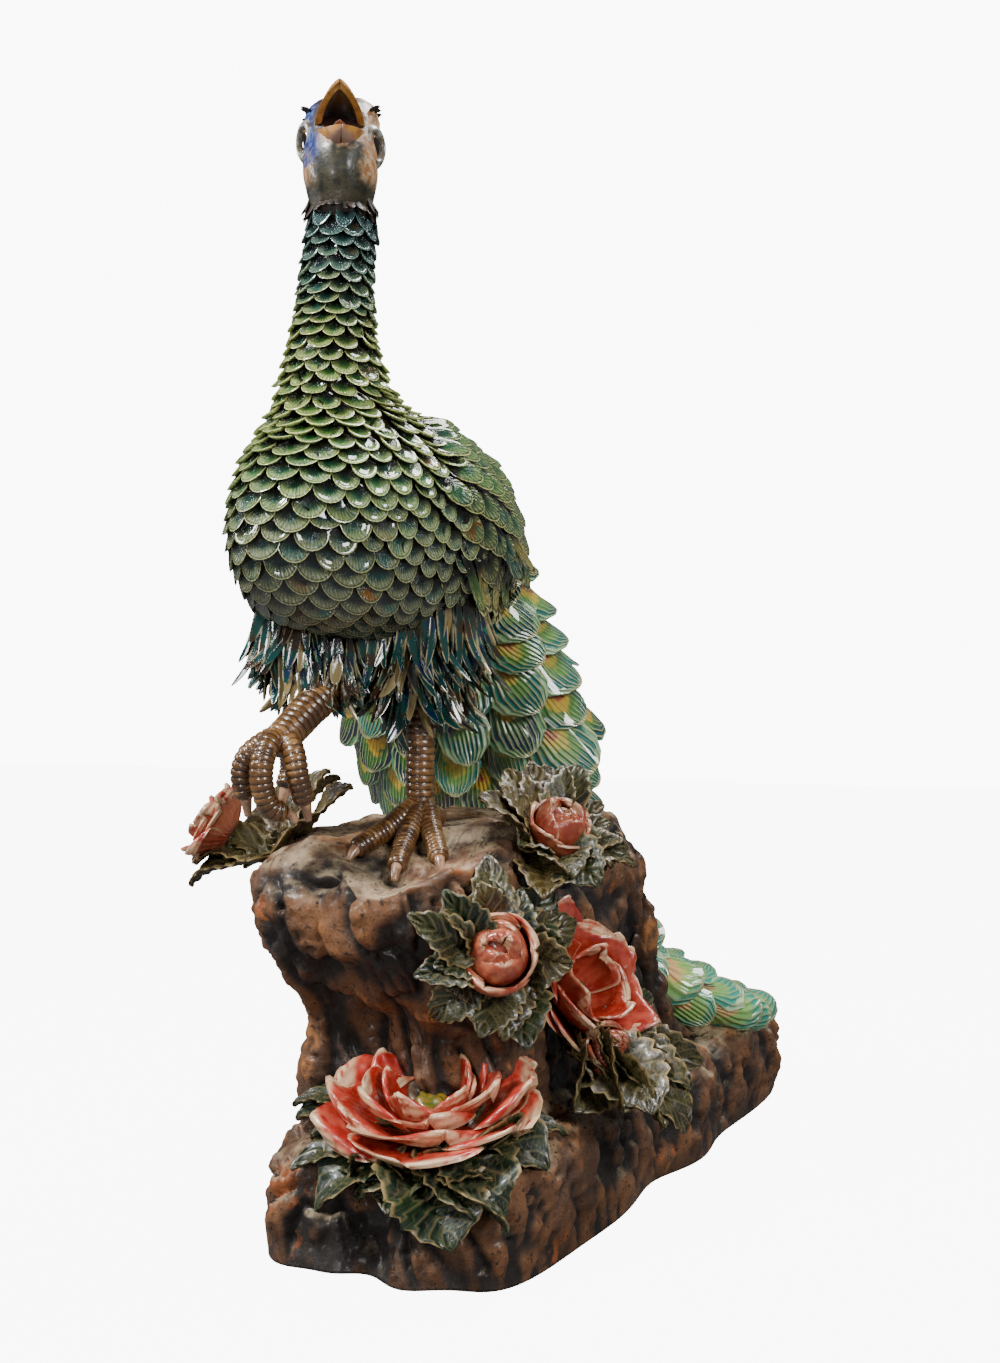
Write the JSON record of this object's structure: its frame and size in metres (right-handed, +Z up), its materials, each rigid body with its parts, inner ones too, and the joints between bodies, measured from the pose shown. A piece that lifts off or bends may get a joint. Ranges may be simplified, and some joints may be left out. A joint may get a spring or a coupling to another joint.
{
  "type": "peacock figurine",
  "caption": "Glazed stoneware peacock standing on a rock ledge with peonies, its train falling behind onto a long slab base.",
  "frame": {"origin": "middle of the rock base's flat underside", "axes": "+Z up, the bird faces -Y and its train runs towards +Y"},
  "size_m": [0.4401, 0.8513, 0.9723],
  "materials": {
    "glazed_stoneware": "glossy majolica glaze",
    "rock_glaze": "brown rock glaze, rubbed and dusty",
    "feather_glaze": "glossy green and blue glaze with cream rims",
    "train_glaze": "glossy green, yellow, red and navy glaze",
    "skin_glaze": "ochre glaze of head, beak, legs and toes",
    "leaf_glaze": "olive and brown glaze with cream edges",
    "petal_glaze": "coral glaze with pale rims"
  },
  "bodies": {
    "root": {"peacock_figurine": "glazed_stoneware"}
  },
  "joints": []
}
